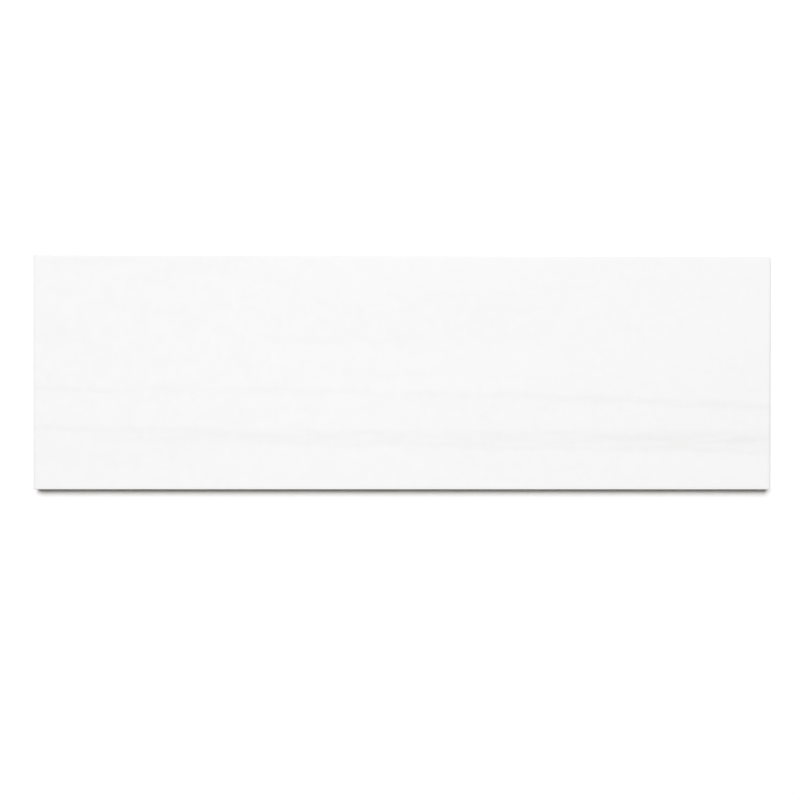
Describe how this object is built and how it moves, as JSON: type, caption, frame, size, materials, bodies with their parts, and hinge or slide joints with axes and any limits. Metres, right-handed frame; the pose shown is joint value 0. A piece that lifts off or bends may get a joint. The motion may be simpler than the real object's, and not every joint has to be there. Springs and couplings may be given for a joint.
{
  "type": "porcelain tile",
  "caption": "Flat rectangular white porcelain tile with eased edges, drawn-in sides and a waffle-ribbed back, bedded in adhesive to cover walls and floors.",
  "frame": {"origin": "middle of the back, on the plane that the ribs rest on", "axes": "+X along the tile's length, +Y across its width, +Z out of its glazed face"},
  "size_m": [0.3, 0.095, 0.009],
  "materials": {
    "glazed_porcelain": "satin white glaze with faint grey streaks on the face, bare beige body on sides and back"
  },
  "bodies": {
    "root": {"tile": "glazed_porcelain"}
  },
  "joints": []
}
